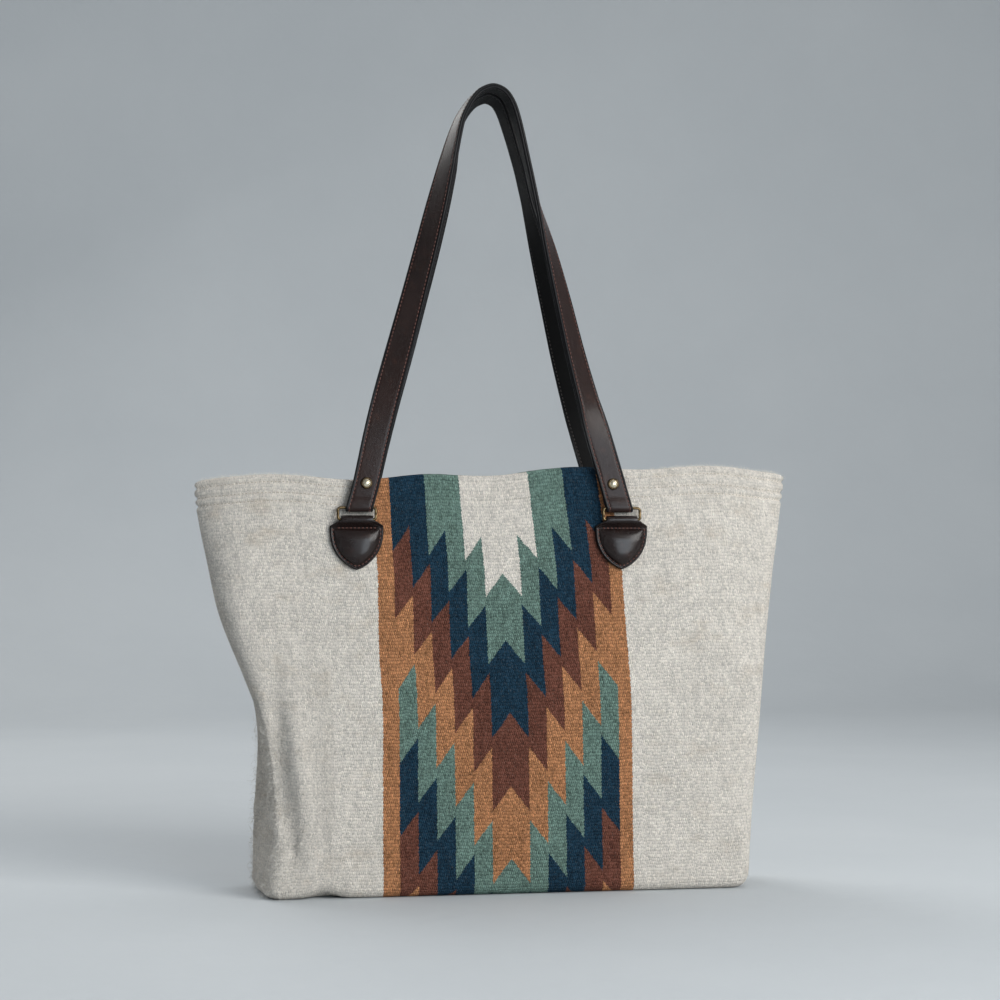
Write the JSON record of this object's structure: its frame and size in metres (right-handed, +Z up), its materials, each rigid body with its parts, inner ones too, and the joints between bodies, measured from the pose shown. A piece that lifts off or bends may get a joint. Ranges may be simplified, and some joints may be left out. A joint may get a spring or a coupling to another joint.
{
  "type": "tote bag",
  "caption": "Woven wool tote bag with a chevron tapestry panel, a turned hem, boxed base and leather handles on brass rings.",
  "frame": {"origin": "centre of the flat base where the bag stands, midway between the front and back walls", "axes": "+Z up, the front with its panel faces -Y, +X to the right as seen from the front"},
  "size_m": [0.4666, 0.0906, 0.6226],
  "materials": {
    "wool_cloth": "weft-faced handwoven wool",
    "cotton_lining": "plain cotton",
    "strap_leather": "smooth waxed",
    "tab_leather": "smooth waxed",
    "antique_brass": "antiqued"
  },
  "bodies": {
    "bag": {"woven_body": "wool_cloth", "lining": "cotton_lining", "front_tab_left": "tab_leather", "front_tab_right": "tab_leather", "back_tab_left": "tab_leather", "back_tab_right": "tab_leather"},
    "front_rings": {"front_ring_left": "antique_brass", "front_ring_right": "antique_brass"},
    "back_rings": {"back_ring_left": "antique_brass", "back_ring_right": "antique_brass"},
    "front_handle": {"front_strap": "strap_leather", "front_strap_lining": "strap_leather", "front_rivet_left_post": "antique_brass", "front_rivet_left_cap": "antique_brass", "front_rivet_right_post": "antique_brass", "front_rivet_right_cap": "antique_brass"},
    "back_handle": {"back_strap": "strap_leather", "back_strap_lining": "strap_leather", "back_rivet_left_post": "antique_brass", "back_rivet_left_cap": "antique_brass", "back_rivet_right_post": "antique_brass", "back_rivet_right_cap": "antique_brass"}
  },
  "joints": [
    {"name": "front_ring_swing", "type": "hinge", "parent": "bag", "child": "front_rings", "pos_m": [-0.0098, -0.02991, 0.28465], "axis": [1, 0, 0], "range_deg": [0, 90]},
    {"name": "front_handle_swing", "type": "hinge", "parent": "front_rings", "child": "front_handle", "pos_m": [-0.0098, -0.02924, 0.29383], "axis": [1, 0, 0], "range_deg": [0, 55]},
    {"name": "back_ring_swing", "type": "hinge", "parent": "bag", "child": "back_rings", "pos_m": [-0.0098, 0.02991, 0.28465], "axis": [-1, 0, 0], "range_deg": [0, 90]},
    {"name": "back_handle_swing", "type": "hinge", "parent": "back_rings", "child": "back_handle", "pos_m": [-0.0098, 0.02924, 0.29383], "axis": [-1, 0, 0], "range_deg": [0, 55]}
  ]
}
